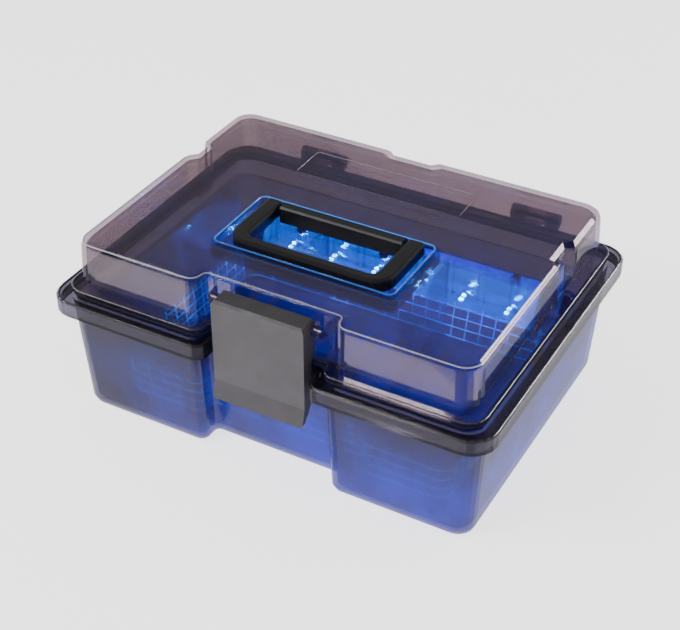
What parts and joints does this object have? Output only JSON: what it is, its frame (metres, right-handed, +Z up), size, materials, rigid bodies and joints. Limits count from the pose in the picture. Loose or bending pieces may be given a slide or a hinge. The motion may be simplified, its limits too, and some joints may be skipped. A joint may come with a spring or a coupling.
{
  "type": "uv sterilizer cabinet",
  "caption": "Portable salon tool sterilizer: smoke-clear tub and hinged lid, blue lamp, lift-out divided tray, front latch and folding carrying handle.",
  "frame": {"origin": "on the ground under the middle of the bounding box", "axes": "+X to the right along the longest side, -Y to the latch side, +Z up"},
  "size_m": [0.266, 0.2088, 0.1128],
  "materials": {
    "smoke_clear": "polished",
    "black_plastic": "fine grain",
    "black_rubber": "matte",
    "clear_plastic": "polished",
    "lamp_lens": "polished",
    "led_glow": "glowing blue",
    "steel": "satin",
    "white_plastic": "satin",
    "board_green": "satin",
    "cell_wrap": "film"
  },
  "bodies": {
    "base": {"tub": "smoke_clear", "module_case": "black_plastic", "module_cover": "black_plastic", "charge_jack": "black_plastic", "button_housing": "black_plastic", "rim_gasket": "black_rubber", "foot_1": "black_rubber", "foot_2": "black_rubber", "foot_3": "black_rubber", "foot_4": "black_rubber", "lamp_lead": "black_rubber", "jack_lead": "black_rubber", "lamp_cover": "lamp_lens", "led_front_1": "led_glow", "led_front_2": "led_glow", "led_front_3": "led_glow", "led_front_4": "led_glow", "led_front_5": "led_glow", "led_front_6": "led_glow", "led_rear_1": "led_glow", "led_rear_2": "led_glow", "led_rear_3": "led_glow", "led_rear_4": "led_glow", "led_rear_5": "led_glow", "led_rear_6": "led_glow", "hinge_pin_left": "steel", "hinge_pin_right": "steel", "lamp_screw_1": "steel", "lamp_screw_2": "steel", "lamp_reflector": "steel", "lamp_cap_left": "white_plastic", "lamp_cap_right": "white_plastic", "reed_switch": "white_plastic", "lamp_board": "board_green", "driver_board": "board_green", "battery_pack": "cell_wrap"},
    "lid": {"lid_shell": "smoke_clear", "lid_magnet": "steel", "handle_mount": "black_plastic", "handle_pin_left": "steel", "handle_pin_right": "steel", "mount_screw_left": "steel", "mount_screw_right": "steel", "latch_pin": "steel"},
    "latch": {"latch_plate": "black_plastic"},
    "handle": {"handle_bail": "black_plastic"},
    "tray": {"organizer_tray": "clear_plastic", "divider_long": "clear_plastic", "divider_rear_left": "clear_plastic", "divider_rear_right": "clear_plastic", "divider_front_left": "clear_plastic", "divider_front_right": "clear_plastic"},
    "button": {"power_button": "white_plastic"}
  },
  "joints": [
    {"name": "lid_hinge", "type": "hinge", "parent": "base", "child": "lid", "pos_m": [0, 0.10015, 0.0805], "axis": [-1, 0, 0], "range_deg": [0, 105]},
    {"name": "latch_hinge", "type": "hinge", "parent": "lid", "child": "latch", "pos_m": [0, -0.08785, 0.1015], "axis": [-1, 0, 0], "range_deg": [0, 90]},
    {"name": "handle_hinge", "type": "hinge", "parent": "lid", "child": "handle", "pos_m": [0, -0.00695, 0.1086], "axis": [-1, 0, 0], "range_deg": [0, 90]},
    {"name": "tray_lift", "type": "slide", "parent": "base", "child": "tray", "axis": [0, 0, 1], "range_m": [0, 0.014]},
    {"name": "button_press", "type": "slide", "parent": "base", "child": "button", "axis": [0, -1, 0], "range_m": [0, 0.0012], "stiffness_N_per_m": 400}
  ]
}
